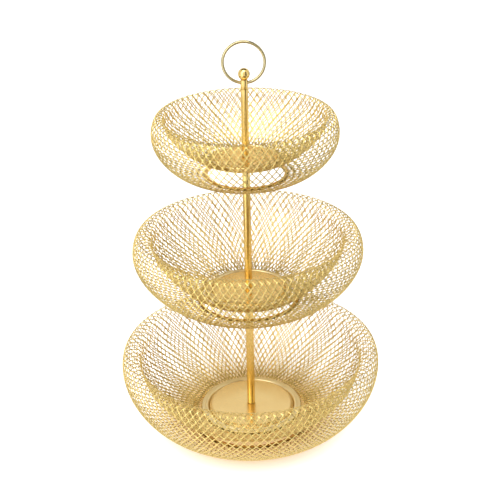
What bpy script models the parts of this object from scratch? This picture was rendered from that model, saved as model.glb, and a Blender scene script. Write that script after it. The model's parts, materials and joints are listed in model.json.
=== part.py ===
"""Tiered fruit basket: three gilt mesh bowls on a sectioned post, with a ball finial and a carrying ring.

Every bowl is one folded mesh. It leaves a base ring level, swells to its widest radius, folds over at
the crest, and comes down inside to a pressed floor plate. Its thousands of small diamonds are stood for
by a coarse lattice of flat bars. The floor plates are clamped between the sections of the post. Sizes are
in metres, +Z is up, and the origin is the middle of the face that the basket stands on.
"""

import math
from dataclasses import dataclass

import bmesh
import bpy
from mathutils import Vector

# Clearances and stock thicknesses
SEAT_GAP = 0.0003
MERGE_DISTANCE = 0.0001
MESH_THICKNESS = 0.0010
PLATE_THICKNESS = 0.0010
CUT_OVERRUN = 0.0020

# Bottom bowl: radii from the post's axis, heights above its own base ring's underside
BOTTOM_BASE_RADIUS = 0.0704
BOTTOM_WIDEST_RADIUS = 0.1500
BOTTOM_WIDEST_HEIGHT = 0.0790
BOTTOM_CREST_RADIUS = 0.1430
BOTTOM_HEIGHT = 0.0965
BOTTOM_THROAT_RADIUS = 0.1287
BOTTOM_THROAT_HEIGHT = 0.0830
BOTTOM_LIP_RADIUS = 0.0610
BOTTOM_LIP_HEIGHT = 0.0125
BOTTOM_FLOOR_RADIUS = 0.0470
BOTTOM_FLOOR_HEIGHT = 0.0165
BOTTOM_BELLY_SHARE = 0.50
BOTTOM_DISH_SHARE = 0.40

# Middle bowl
MIDDLE_BASE_RADIUS = 0.0565
MIDDLE_WIDEST_RADIUS = 0.1288
MIDDLE_WIDEST_HEIGHT = 0.0625
MIDDLE_CREST_RADIUS = 0.1179
MIDDLE_HEIGHT = 0.0838
MIDDLE_THROAT_RADIUS = 0.1070
MIDDLE_THROAT_HEIGHT = 0.0730
MIDDLE_LIP_RADIUS = 0.0490
MIDDLE_LIP_HEIGHT = 0.0105
MIDDLE_FLOOR_RADIUS = 0.0380
MIDDLE_FLOOR_HEIGHT = 0.0135
MIDDLE_BELLY_SHARE = 0.43
MIDDLE_DISH_SHARE = 0.30

# Top bowl
TOP_BASE_RADIUS = 0.0436
TOP_WIDEST_RADIUS = 0.1002
TOP_WIDEST_HEIGHT = 0.0488
TOP_CREST_RADIUS = 0.0907
TOP_HEIGHT = 0.0693
TOP_THROAT_RADIUS = 0.0856
TOP_THROAT_HEIGHT = 0.0600
TOP_LIP_RADIUS = 0.0385
TOP_LIP_HEIGHT = 0.0190
TOP_FLOOR_RADIUS = 0.0300
TOP_FLOOR_HEIGHT = 0.0215
TOP_BELLY_SHARE = 0.48
TOP_DISH_SHARE = 0.27

# Mesh lattice: flat bars that cross in diamonds, between an unbroken strip at each edge
MESH_BAR_WIDTH = 0.0030

# Base ring: a folded strip that grips the mesh's outer edge
BASE_RING_WALL = 0.0007
BASE_RING_WIDTH = 0.0036
BASE_RING_INSET = 0.0020
BASE_RING_CHAMFER = 0.0007

# Clamp ring: a pressed ring that holds the mesh's inner edge down on the floor plate's flange
SHOULDER_WIDTH = 0.0036
CLAMP_RING_CLEARANCE = 0.0006
CLAMP_RING_HEIGHT = 0.0017
CLAMP_RING_CHAMFER = 0.0005
CLAMP_STEP_SHARE = 0.52
CLAMP_STEP_HEIGHT_SHARE = 0.55
GRIP_SHARE = 0.62

# Post: three tubes, end to end, with a floor plate pinched between each two
LOWER_TUBE_LENGTH = 0.1560
MIDDLE_TUBE_LENGTH = 0.1578
UPPER_TUBE_LENGTH = 0.0750
LOWER_TUBE_RADIUS = 0.0047
MIDDLE_TUBE_RADIUS = 0.0043
UPPER_TUBE_RADIUS = 0.0039
TUBE_WALL = 0.0008
INSERT_LENGTH = 0.0120
STUD_RADIUS = 0.0020
STUD_REACH = 0.0090
STUD_CHAMFER = 0.0004

# Foot screw and its washer, in the hollow under the bottom floor plate
SCREW_HEAD_RADIUS = 0.0042
SCREW_HEAD_HEIGHT = 0.0026
SCREW_SOCKET_RADIUS = 0.0016
SCREW_SOCKET_DEPTH = 0.0014
WASHER_RADIUS = 0.0090
WASHER_THICKNESS = 0.0010

# Ring eye, ball finial and carrying ring, at the top of the post
EYE_BODY_LENGTH = 0.0100
EYE_SPIGOT_LENGTH = 0.0080
EYE_CHAMFER = 0.0004
EYE_HOLE_RADIUS = 0.0023
EYE_HOLE_DEPTH = 0.0036
FINIAL_STUD_RADIUS = 0.0015
FINIAL_STUD_LENGTH = 0.0048
BALL_RADIUS = 0.0063
BALL_SEAT_RADIUS = 0.0027
CARRY_RING_RADIUS = 0.0219
CARRY_WIRE_RADIUS = 0.0016

# Facet counts
BOTTOM_COLUMNS = 20
BOTTOM_BELLY_STEPS = 5
BOTTOM_DISH_STEPS = 4
MIDDLE_COLUMNS = 16
MIDDLE_BELLY_STEPS = 5
MIDDLE_DISH_STEPS = 4
TOP_COLUMNS = 14
TOP_BELLY_STEPS = 4
TOP_DISH_STEPS = 3
FOLD_STEPS = 2
POST_STEPS = 16
BALL_STEPS = 10
RING_STEPS = 36
WIRE_SIDES = 8
SOCKET_SIDES = 6

# The share that makes a cubic curve's quarter turn round
ROUND_SHARE = 0.5523

PARTS = "tiered_fruit_basket"
CUTTERS = "cutters"


@dataclass(frozen=True)
class Bowl:
    """The sizes of one tier, measured from the underside of its own base ring."""

    name: str
    base_radius: float
    widest: tuple
    crest: tuple
    throat: tuple
    lip: tuple
    floor_radius: float
    floor_height: float
    belly_share: float
    dish_share: float
    columns: int
    belly_steps: int
    dish_steps: int

    @property
    def steps(self):
        """Facets round the axis: two to a column of diamonds."""
        return 2 * self.columns

    @property
    def widest_row(self):
        """Which point of the mesh's line is the widest: its edge comes first, then the base."""
        return 1 + self.belly_steps

    @property
    def shoulder_radius(self):
        """Where the floor plate's slope meets its flange."""
        return self.floor_radius + SHOULDER_WIDTH

    @property
    def clamp_inner_radius(self):
        return self.shoulder_radius + CLAMP_RING_CLEARANCE

    @property
    def grip(self):
        """How far the mesh's inner edge runs in under the clamp ring."""
        return GRIP_SHARE * (self.lip[0] - self.clamp_inner_radius)


BOTTOM_BOWL = Bowl(
    "bottom",
    BOTTOM_BASE_RADIUS,
    (BOTTOM_WIDEST_RADIUS, BOTTOM_WIDEST_HEIGHT),
    (BOTTOM_CREST_RADIUS, BOTTOM_HEIGHT),
    (BOTTOM_THROAT_RADIUS, BOTTOM_THROAT_HEIGHT),
    (BOTTOM_LIP_RADIUS, BOTTOM_LIP_HEIGHT),
    BOTTOM_FLOOR_RADIUS,
    BOTTOM_FLOOR_HEIGHT,
    BOTTOM_BELLY_SHARE,
    BOTTOM_DISH_SHARE,
    BOTTOM_COLUMNS,
    BOTTOM_BELLY_STEPS,
    BOTTOM_DISH_STEPS,
)
MIDDLE_BOWL = Bowl(
    "middle",
    MIDDLE_BASE_RADIUS,
    (MIDDLE_WIDEST_RADIUS, MIDDLE_WIDEST_HEIGHT),
    (MIDDLE_CREST_RADIUS, MIDDLE_HEIGHT),
    (MIDDLE_THROAT_RADIUS, MIDDLE_THROAT_HEIGHT),
    (MIDDLE_LIP_RADIUS, MIDDLE_LIP_HEIGHT),
    MIDDLE_FLOOR_RADIUS,
    MIDDLE_FLOOR_HEIGHT,
    MIDDLE_BELLY_SHARE,
    MIDDLE_DISH_SHARE,
    MIDDLE_COLUMNS,
    MIDDLE_BELLY_STEPS,
    MIDDLE_DISH_STEPS,
)
TOP_BOWL = Bowl(
    "top",
    TOP_BASE_RADIUS,
    (TOP_WIDEST_RADIUS, TOP_WIDEST_HEIGHT),
    (TOP_CREST_RADIUS, TOP_HEIGHT),
    (TOP_THROAT_RADIUS, TOP_THROAT_HEIGHT),
    (TOP_LIP_RADIUS, TOP_LIP_HEIGHT),
    TOP_FLOOR_RADIUS,
    TOP_FLOOR_HEIGHT,
    TOP_BELLY_SHARE,
    TOP_DISH_SHARE,
    TOP_COLUMNS,
    TOP_BELLY_STEPS,
    TOP_DISH_STEPS,
)

# Finishes: base colour, roughness, metallic
MESH_FINISH = ((0.83, 0.66, 0.33, 1.0), 0.30, 1.0)
RING_FINISH = ((0.78, 0.56, 0.22, 1.0), 0.24, 1.0)
FLOOR_FINISH = ((0.76, 0.57, 0.26, 1.0), 0.42, 1.0)
POST_FINISH = ((0.86, 0.60, 0.20, 1.0), 0.14, 1.0)
INSERT_FINISH = ((0.62, 0.61, 0.58, 1.0), 0.45, 1.0)
SCREW_FINISH = ((0.55, 0.55, 0.54, 1.0), 0.35, 1.0)


def clear_scene():
    """Remove everything, so that the script starts from nothing."""
    for item in list(bpy.data.objects):
        bpy.data.objects.remove(item, do_unlink=True)


def make_collection(name, hidden=False):
    found = bpy.data.collections.new(name)
    bpy.context.scene.collection.children.link(found)
    found.hide_render = hidden
    return found


def dress(obj, finish):
    """Give the object its own Principled material."""
    colour, roughness, metallic = finish
    material = bpy.data.materials.new(obj.name + "_finish")
    material.use_nodes = True
    shader = material.node_tree.nodes["Principled BSDF"]
    shader.inputs["Base Color"].default_value = colour
    shader.inputs["Roughness"].default_value = roughness
    shader.inputs["Metallic"].default_value = metallic
    material.diffuse_color = colour
    obj.data.materials.append(material)


def add_screw(obj, steps):
    """Turn the object's profile once round Z."""
    turn = obj.modifiers.new("turn", "SCREW")
    turn.steps = steps
    turn.render_steps = steps
    turn.use_merge_vertices = True
    turn.merge_threshold = MERGE_DISTANCE
    turn.use_smooth_shade = True


def profile_object(name, points, closed, height, finish):
    """A profile of (radius, height) points in the XZ plane, on an object raised to its height."""
    mesh = bpy.data.meshes.new(name)
    count = len(points)
    last = count if closed else count - 1
    edges = [(i, (i + 1) % count) for i in range(last)]
    mesh.from_pydata([(radius, 0.0, z) for radius, z in points], edges, [])
    obj = bpy.data.objects.new(name, mesh)
    bpy.data.collections[PARTS].objects.link(obj)
    obj.location = (0.0, 0.0, height)
    dress(obj, finish)
    return obj


def turned(name, points, closed, steps, height, finish):
    """A turned piece: the profile runs down its outer side, and a closed one is a ring."""
    obj = profile_object(name, points, closed, height, finish)
    add_screw(obj, steps)
    return obj


def add_wall(obj, thickness):
    """Give a sheet an even thickness, half of it on each side."""
    wall = obj.modifiers.new("wall", "SOLIDIFY")
    wall.thickness = thickness
    wall.offset = 0.0
    wall.use_even_offset = True


def turned_shell(name, points, thickness, steps, height, finish):
    """A turned sheet of even thickness, half of it on each side of the profile."""
    obj = profile_object(name, points, False, height, finish)
    add_screw(obj, steps)
    add_wall(obj, thickness)
    return obj


def cut_with(obj, cutter, name):
    """Take the cutter's shape out of the object."""
    cut = obj.modifiers.new(name, "BOOLEAN")
    cut.operation = "DIFFERENCE"
    cut.solver = "EXACT"
    cut.object = cutter


def cylinder_cutter(name, radius, depth, sides, place, tilt):
    """A hidden cylinder that Booleans cut with."""
    mesh = bpy.data.meshes.new(name)
    shape = bmesh.new()
    bmesh.ops.create_cone(shape, cap_ends=True, segments=sides, radius1=radius, radius2=radius, depth=depth)
    shape.to_mesh(mesh)
    shape.free()
    cutter = bpy.data.objects.new(name, mesh)
    bpy.data.collections[CUTTERS].objects.link(cutter)
    cutter.location = place
    cutter.rotation_euler = tilt
    cutter.hide_render = True
    cutter.display_type = "WIRE"
    return cutter


def quarter(start, end, share, steps, level_first):
    """Points of a quarter turn from start to end, without its first point.

    It leaves start level and reaches end upright, or the other way round when level_first is false.
    The share says how full the turn is.
    """
    start = Vector(start)
    end = Vector(end)
    span = end - start
    level = Vector((span.x * share, 0.0))
    upright = Vector((0.0, span.y * share))
    near = start + (level if level_first else upright)
    far = end - (upright if level_first else level)
    points = []
    for i in range(1, steps + 1):
        t = i / steps
        s = 1.0 - t
        point = start * s**3 + near * (3.0 * s * s * t) + far * (3.0 * s * t * t) + end * t**3
        points.append((point.x, point.y))
    return points


def base_ring_height():
    """The folded strip closes over the mesh with a seat gap on each side."""
    return MESH_THICKNESS + 2.0 * (SEAT_GAP + BASE_RING_WALL)


def mesh_line(bowl):
    """The middle of the mesh's thickness, from its edge in the base ring to its edge under the clamp ring."""
    base_height = base_ring_height() / 2.0
    ring_inner = bowl.base_radius - BASE_RING_INSET
    base = (ring_inner + BASE_RING_WIDTH, base_height)
    points = [(ring_inner + BASE_RING_WALL + SEAT_GAP, base_height), base]
    points += quarter(base, bowl.widest, bowl.belly_share, bowl.belly_steps, True)
    points += quarter(bowl.widest, bowl.crest, ROUND_SHARE, FOLD_STEPS, False)
    points += quarter(bowl.crest, bowl.throat, ROUND_SHARE, FOLD_STEPS, True)
    points += quarter(bowl.throat, bowl.lip, bowl.dish_share, bowl.dish_steps, False)
    points.append((bowl.lip[0] - bowl.grip, bowl.lip[1]))
    return points


def spin_line(shape, line, steps):
    """Turn a line once round Z. Returns each vertex's row along the line and column round the axis."""
    corners = [shape.verts.new((radius, 0.0, z)) for radius, z in line]
    edges = [shape.edges.new(pair) for pair in zip(corners, corners[1:])]
    bmesh.ops.spin(
        shape,
        geom=corners + edges,
        cent=(0.0, 0.0, 0.0),
        axis=(0.0, 0.0, 1.0),
        angle=math.tau,
        steps=steps,
        use_merge=True,
    )
    bmesh.ops.remove_doubles(shape, verts=list(shape.verts), dist=MERGE_DISTANCE)
    places = {}
    for vert in shape.verts:
        radius = math.hypot(vert.co.x, vert.co.y)
        misses = [math.dist((radius, vert.co.z), point) for point in line]
        turned_by = math.atan2(vert.co.y, vert.co.x) / math.tau
        places[vert] = (misses.index(min(misses)), round(turned_by * steps) % steps)
    return places


def open_diamonds(shape, places, last_row, crossing_row):
    """Open the turned sheet into diamonds between its second row and its last but one.

    The bars cross on every second column, and on column 0 in the crossing row.
    """

    def is_crossing(vert):
        row, column = places[vert]
        return (row + column + crossing_row) % 2 == 0

    def is_open(face):
        rows = [places[vert][0] for vert in face.verts]
        return min(rows) >= 1 and max(rows) <= last_row - 1

    sheet = [face for face in shape.faces if is_open(face)]
    strips = [face for face in shape.faces if not is_open(face)]
    inner_edges = [edge for face in sheet for edge in face.edges]
    inner_edges = [edge for edge in set(inner_edges) if all(is_open(face) for face in edge.link_faces)]
    crossings = [vert for vert in shape.verts if is_crossing(vert)]
    bmesh.ops.connect_verts(shape, verts=crossings, faces_exclude=strips)
    bmesh.ops.dissolve_edges(shape, edges=inner_edges, use_verts=False)
    diamonds = [face for face in shape.faces if is_open(face)]
    bmesh.ops.inset_individual(shape, faces=diamonds, thickness=MESH_BAR_WIDTH / 2.0, use_even_offset=True)
    bmesh.ops.delete(shape, geom=diamonds, context="FACES")


def build_basket_mesh(bowl, height):
    """The bowl's folded mesh as a lattice of flat bars, with the rings' grip on its two unbroken edges."""
    name = bowl.name + "_basket_mesh"
    line = mesh_line(bowl)
    mesh = bpy.data.meshes.new(name)
    shape = bmesh.new()
    places = spin_line(shape, line, bowl.steps)
    open_diamonds(shape, places, len(line) - 1, bowl.widest_row)
    bmesh.ops.recalc_face_normals(shape, faces=list(shape.faces))
    shape.to_mesh(mesh)
    shape.free()
    obj = bpy.data.objects.new(name, mesh)
    bpy.data.collections[PARTS].objects.link(obj)
    obj.location = (0.0, 0.0, height)
    dress(obj, MESH_FINISH)
    add_wall(obj, MESH_THICKNESS)


def build_base_ring(bowl, height):
    """A strip folded round the mesh's outer edge. Its groove opens outwards."""
    inner = bowl.base_radius - BASE_RING_INSET
    outer = inner + BASE_RING_WIDTH
    top = base_ring_height()
    groove = inner + BASE_RING_WALL
    points = [
        (inner, top - BASE_RING_CHAMFER),
        (inner + BASE_RING_CHAMFER, top),
        (outer, top),
        (outer, top - BASE_RING_WALL),
        (groove, top - BASE_RING_WALL),
        (groove, BASE_RING_WALL),
        (outer, BASE_RING_WALL),
        (outer, 0.0),
        (inner + BASE_RING_CHAMFER, 0.0),
        (inner, BASE_RING_CHAMFER),
    ]
    turned(bowl.name + "_base_ring", points, True, bowl.steps, height, RING_FINISH)


def build_floor_plate(bowl, height):
    """A pressed plate: a flat floor, a sloping shoulder and a lower flange that carries the mesh."""
    floor_line = bowl.floor_height - PLATE_THICKNESS / 2.0
    flange_line = bowl.lip[1] - MESH_THICKNESS / 2.0 - SEAT_GAP - PLATE_THICKNESS / 2.0
    points = [
        (STUD_RADIUS + SEAT_GAP, floor_line),
        (bowl.floor_radius, floor_line),
        (bowl.shoulder_radius, flange_line),
        (bowl.lip[0] - SEAT_GAP, flange_line),
    ]
    name = bowl.name + "_floor_plate"
    turned_shell(name, points, PLATE_THICKNESS, bowl.steps, height, FLOOR_FINISH)


def build_clamp_ring(bowl, height):
    """A stepped ring on the mesh's inner edge, over the floor plate's flange."""
    inner = bowl.clamp_inner_radius
    outer = bowl.lip[0]
    foot = bowl.lip[1] + MESH_THICKNESS / 2.0 + SEAT_GAP
    top = foot + CLAMP_RING_HEIGHT
    step = foot + CLAMP_RING_HEIGHT * CLAMP_STEP_HEIGHT_SHARE
    step_radius = inner + (outer - inner) * CLAMP_STEP_SHARE
    points = [
        (inner, top - CLAMP_RING_CHAMFER),
        (inner + CLAMP_RING_CHAMFER, top),
        (step_radius - CLAMP_RING_CHAMFER, top),
        (step_radius, step),
        (outer - CLAMP_RING_CHAMFER, step),
        (outer, step - CLAMP_RING_CHAMFER),
        (outer, foot),
        (inner, foot),
    ]
    turned(bowl.name + "_clamp_ring", points, True, bowl.steps, height, RING_FINISH)


def build_bowl(bowl, floor_top):
    """One tier, hung on its floor plate's upper face."""
    height = floor_top - bowl.floor_height
    build_basket_mesh(bowl, height)
    build_base_ring(bowl, height)
    build_floor_plate(bowl, height)
    build_clamp_ring(bowl, height)


def ring_section(inner, outer, length):
    """A plain tube's section, from its lower end at zero."""
    return [(inner, length), (outer, length), (outer, 0.0), (inner, 0.0)]


def build_tube(name, radius, length, foot):
    points = ring_section(radius - TUBE_WALL, radius, length)
    turned(name, points, True, POST_STEPS, foot, POST_FINISH)


def build_insert(name, tube_radius, foot):
    """A threaded sleeve, fast in the end of a tube."""
    outer = tube_radius - TUBE_WALL - SEAT_GAP
    points = ring_section(STUD_RADIUS + SEAT_GAP, outer, INSERT_LENGTH)
    turned(name, points, True, POST_STEPS, foot, INSERT_FINISH)


def build_stud(name, plate_top):
    """A stud that joins two tubes through the floor plate between them."""
    foot = plate_top - PLATE_THICKNESS - SEAT_GAP - STUD_REACH
    length = PLATE_THICKNESS + 2.0 * (SEAT_GAP + STUD_REACH)
    points = [
        (0.0, length),
        (STUD_RADIUS - STUD_CHAMFER, length),
        (STUD_RADIUS, length - STUD_CHAMFER),
        (STUD_RADIUS, STUD_CHAMFER),
        (STUD_RADIUS - STUD_CHAMFER, 0.0),
        (0.0, 0.0),
    ]
    turned(name, points, False, POST_STEPS, foot, SCREW_FINISH)


def build_foot_fixing(plate_top):
    """The washer and the socket screw that hold the lower tube from beneath."""
    washer_top = plate_top - PLATE_THICKNESS - SEAT_GAP
    washer_foot = washer_top - WASHER_THICKNESS
    points = ring_section(STUD_RADIUS + SEAT_GAP, WASHER_RADIUS, WASHER_THICKNESS)
    turned("foot_washer", points, True, POST_STEPS, washer_foot, SCREW_FINISH)
    head_foot = washer_foot - SEAT_GAP - SCREW_HEAD_HEIGHT
    tip = plate_top + SEAT_GAP + STUD_REACH - head_foot
    points = [
        (0.0, tip),
        (STUD_RADIUS - STUD_CHAMFER, tip),
        (STUD_RADIUS, tip - STUD_CHAMFER),
        (STUD_RADIUS, SCREW_HEAD_HEIGHT),
        (SCREW_HEAD_RADIUS, SCREW_HEAD_HEIGHT),
        (SCREW_HEAD_RADIUS, STUD_CHAMFER),
        (SCREW_HEAD_RADIUS - STUD_CHAMFER, 0.0),
        (0.0, 0.0),
    ]
    screw = turned("foot_screw", points, False, POST_STEPS, head_foot, SCREW_FINISH)
    depth = SCREW_SOCKET_DEPTH + CUT_OVERRUN
    place = (0.0, 0.0, head_foot + SCREW_SOCKET_DEPTH - depth / 2.0)
    sides = SOCKET_SIDES
    socket = cylinder_cutter("screw_socket", SCREW_SOCKET_RADIUS, depth, sides, place, (0.0, 0.0, 0.0))
    cut_with(screw, socket, "socket")


def build_ring_eye(tube_top):
    """A solid end for the post, cross-drilled for the carrying ring. Returns its top and its hole's height."""
    body_foot = tube_top + SEAT_GAP
    spigot_radius = UPPER_TUBE_RADIUS - TUBE_WALL - SEAT_GAP
    foot = body_foot - SEAT_GAP - EYE_SPIGOT_LENGTH
    body_top = body_foot + EYE_BODY_LENGTH
    points = [
        (0.0, body_top + FINIAL_STUD_LENGTH - foot),
        (FINIAL_STUD_RADIUS, body_top + FINIAL_STUD_LENGTH - foot),
        (FINIAL_STUD_RADIUS, body_top - foot),
        (UPPER_TUBE_RADIUS - EYE_CHAMFER, body_top - foot),
        (UPPER_TUBE_RADIUS, body_top - EYE_CHAMFER - foot),
        (UPPER_TUBE_RADIUS, body_foot - foot),
        (spigot_radius, body_foot - foot),
        (spigot_radius, 0.0),
        (0.0, 0.0),
    ]
    eye = turned("ring_eye", points, False, POST_STEPS, foot, POST_FINISH)
    hole_height = body_top - EYE_HOLE_DEPTH
    depth = 2.0 * (UPPER_TUBE_RADIUS + CUT_OVERRUN)
    across = (0.0, math.pi / 2.0, 0.0)
    hole = cylinder_cutter("eye_hole", EYE_HOLE_RADIUS, depth, POST_STEPS, (0.0, 0.0, hole_height), across)
    cut_with(eye, hole, "cross_hole")
    return body_top, hole_height


def build_ball(eye_top):
    """The ball finial, bored from beneath and seated on the ring eye."""
    seat = eye_top + SEAT_GAP
    drop = math.sqrt(BALL_RADIUS**2 - BALL_SEAT_RADIUS**2)
    centre = seat + drop
    last_angle = math.pi - math.asin(BALL_SEAT_RADIUS / BALL_RADIUS)
    bore = FINIAL_STUD_RADIUS + SEAT_GAP
    bore_top = eye_top + FINIAL_STUD_LENGTH + SEAT_GAP
    points = []
    for i in range(BALL_STEPS + 1):
        angle = last_angle * i / BALL_STEPS
        points.append((BALL_RADIUS * math.sin(angle), BALL_RADIUS * math.cos(angle)))
    points.append((bore, seat - centre))
    points.append((bore, bore_top - centre))
    points.append((0.0, bore_top - centre))
    turned("finial_ball", points, False, POST_STEPS, centre, POST_FINISH)


def build_carry_ring(eye_height):
    """The wire ring through the eye, standing upright on a pivot at the hole's axis."""
    pivot = bpy.data.objects.new("carry_ring_pivot", None)
    bpy.data.collections[PARTS].objects.link(pivot)
    pivot.location = (0.0, 0.0, eye_height)
    bpy.ops.mesh.primitive_torus_add(
        major_segments=RING_STEPS,
        minor_segments=WIRE_SIDES,
        major_radius=CARRY_RING_RADIUS,
        minor_radius=CARRY_WIRE_RADIUS,
    )
    ring = bpy.context.active_object
    ring.name = "carry_ring"
    ring.data.name = "carry_ring"
    ring.data.shade_smooth()
    for owner in list(ring.users_collection):
        owner.objects.unlink(ring)
    bpy.data.collections[PARTS].objects.link(ring)
    ring.parent = pivot
    ring.location = (0.0, 0.0, CARRY_RING_RADIUS)
    ring.rotation_euler = (math.pi / 2.0, 0.0, 0.0)
    dress(ring, RING_FINISH)


def build_post(bottom_floor):
    """The post's sections from the bottom floor plate up. Returns the upper faces of the other two plates."""
    lower_foot = bottom_floor + SEAT_GAP
    lower_top = lower_foot + LOWER_TUBE_LENGTH
    middle_floor = lower_top + SEAT_GAP + PLATE_THICKNESS
    middle_foot = middle_floor + SEAT_GAP
    middle_top = middle_foot + MIDDLE_TUBE_LENGTH
    top_floor = middle_top + SEAT_GAP + PLATE_THICKNESS
    upper_foot = top_floor + SEAT_GAP
    upper_top = upper_foot + UPPER_TUBE_LENGTH

    build_foot_fixing(bottom_floor)
    build_tube("lower_post_tube", LOWER_TUBE_RADIUS, LOWER_TUBE_LENGTH, lower_foot)
    build_insert("lower_tube_foot_insert", LOWER_TUBE_RADIUS, lower_foot)
    build_insert("lower_tube_head_insert", LOWER_TUBE_RADIUS, lower_top - INSERT_LENGTH)
    build_stud("middle_floor_stud", middle_floor)
    build_tube("middle_post_tube", MIDDLE_TUBE_RADIUS, MIDDLE_TUBE_LENGTH, middle_foot)
    build_insert("middle_tube_foot_insert", MIDDLE_TUBE_RADIUS, middle_foot)
    build_insert("middle_tube_head_insert", MIDDLE_TUBE_RADIUS, middle_top - INSERT_LENGTH)
    build_stud("top_floor_stud", top_floor)
    build_tube("upper_post_tube", UPPER_TUBE_RADIUS, UPPER_TUBE_LENGTH, upper_foot)
    build_insert("upper_tube_foot_insert", UPPER_TUBE_RADIUS, upper_foot)
    eye_top, eye_height = build_ring_eye(upper_top)
    build_ball(eye_top)
    build_carry_ring(eye_height)
    return middle_floor, top_floor


def main():
    clear_scene()
    make_collection(PARTS)
    make_collection(CUTTERS, hidden=True)
    middle_floor, top_floor = build_post(BOTTOM_BOWL.floor_height)
    build_bowl(BOTTOM_BOWL, BOTTOM_BOWL.floor_height)
    build_bowl(MIDDLE_BOWL, middle_floor)
    build_bowl(TOP_BOWL, top_floor)


main()
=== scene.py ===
"""The looks of the tiered fruit basket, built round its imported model.

Three bowls of expanded brass mesh hang on a sectioned post. Each bowl's mesh is one folded sheet of
diamonds that runs from a base ring, over the rim, down to a clamp ring on a satin floor plate. A ball
finial and a loose carrying ring close the post. Sizes are in metres, +Z is up.
"""

from __future__ import annotations

import json
import logging
import math
from collections.abc import Callable, Iterator, Sequence
from contextlib import contextmanager
from dataclasses import dataclass, replace
from enum import Enum
from functools import cache

import bmesh
import bpy
import numpy as np
from mathutils import Euler, Matrix, Vector
from mathutils.kdtree import KDTree

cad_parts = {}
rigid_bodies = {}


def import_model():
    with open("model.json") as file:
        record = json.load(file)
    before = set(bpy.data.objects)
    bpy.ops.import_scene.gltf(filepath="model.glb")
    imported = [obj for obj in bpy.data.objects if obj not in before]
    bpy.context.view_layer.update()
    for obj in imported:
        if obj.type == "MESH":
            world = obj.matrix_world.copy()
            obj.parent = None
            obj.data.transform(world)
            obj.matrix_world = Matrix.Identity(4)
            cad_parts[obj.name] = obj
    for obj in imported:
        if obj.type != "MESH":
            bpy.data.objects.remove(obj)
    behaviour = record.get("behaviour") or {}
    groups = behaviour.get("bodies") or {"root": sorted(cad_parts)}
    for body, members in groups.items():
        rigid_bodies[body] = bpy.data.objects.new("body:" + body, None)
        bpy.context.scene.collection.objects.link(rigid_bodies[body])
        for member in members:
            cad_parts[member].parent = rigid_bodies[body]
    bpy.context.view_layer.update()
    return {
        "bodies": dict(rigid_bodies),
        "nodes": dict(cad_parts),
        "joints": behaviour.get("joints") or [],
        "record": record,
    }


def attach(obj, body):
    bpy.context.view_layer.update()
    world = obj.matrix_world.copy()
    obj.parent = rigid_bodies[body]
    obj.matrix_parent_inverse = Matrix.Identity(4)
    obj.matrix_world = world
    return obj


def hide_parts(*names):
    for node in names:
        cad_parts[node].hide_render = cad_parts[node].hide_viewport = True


LOG = logging.getLogger("fruit_basket")

Point = tuple[float, float]
Corner = tuple[float, float, float]
Place = tuple[float, float, float]
Colour = tuple[float, float, float, float]
Piece = bpy.types.Object
Socket = bpy.types.NodeSocket

STAND = "stand"
HANDLE = "handle"

TURN = 2.0 * math.pi
MERGE_DISTANCE = 1e-6
START_SIZE = 0.01
ROUND_SHARE = 0.5523
SEAT_GAP = 0.0003
TURNED_BEND = 50.0
BORED_BEND = 40.0
NOISE_LOW = 0.3
NOISE_HIGH = 0.7
BASKET_MIDDLE: Place = (0.0, 0.0, 0.22)
FLAT_AIM_HEIGHT = 1.0
WHITE: Colour = (1.0, 1.0, 1.0, 1.0)
DIM_CARD: Colour = (0.22, 0.20, 0.16, 1.0)
DARK_CARD: Colour = (0.05, 0.045, 0.04, 1.0)


class Element(Enum):
    """What a selection in edit mode is made of."""

    VERTEX = "VERT"
    EDGE = "EDGE"
    FACE = "FACE"


def pick(piece: Piece) -> None:
    """Make a piece the active one and the only one selected.

    Args:
        piece: the piece to pick.
    """
    bpy.ops.object.select_all(action="DESELECT")
    piece.select_set(True)
    bpy.context.view_layer.objects.active = piece


@contextmanager
def editing(piece: Piece) -> Iterator[None]:
    """Hold one piece, alone selected, in edit mode with all its vertices selected.

    Args:
        piece: the mesh object to edit.

    Yields:
        Nothing. The piece is back in object mode afterwards.
    """
    pick(piece)
    bpy.ops.object.mode_set(mode="EDIT")
    bpy.ops.mesh.select_mode(type=Element.VERTEX.value)
    bpy.ops.mesh.select_all(action="SELECT")
    try:
        yield
    finally:
        bpy.ops.object.mode_set(mode="OBJECT")


def select_where(piece: Piece, element: Element, test: Callable[..., bool]) -> int:
    """Select the elements of the edited piece that pass a test.

    Args:
        piece: the piece in edit mode.
        element: the kind of element to select.
        test: says of one bmesh element whether it is selected.

    Returns:
        How many elements were selected.
    """
    bpy.ops.mesh.select_mode(type=element.value)
    bpy.ops.mesh.select_all(action="DESELECT")
    shape = bmesh.from_edit_mesh(piece.data)
    kinds = {Element.VERTEX: shape.verts, Element.EDGE: shape.edges, Element.FACE: shape.faces}
    found = [item for item in kinds[element] if test(item)]
    for item in found:
        item.select_set(True)
    shape.select_flush_mode()
    bmesh.update_edit_mesh(piece.data)
    return len(found)


def modify(piece: Piece, name: str, kind: str, **settings: object) -> None:
    """Add a modifier to a piece and apply it.

    Args:
        piece: the piece to change.
        name: the modifier's name.
        kind: the modifier's type.
        settings: properties to set on it.
    """
    modifier = piece.modifiers.new(name, kind)
    for setting, value in settings.items():
        setattr(modifier, setting, value)
    pick(piece)
    bpy.ops.object.modifier_apply(modifier=name)


def drop(piece: Piece) -> None:
    """Remove a helper object and its mesh.

    Args:
        piece: the helper.
    """
    mesh = piece.data
    bpy.data.objects.remove(piece, do_unlink=True)
    bpy.data.meshes.remove(mesh)


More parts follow.
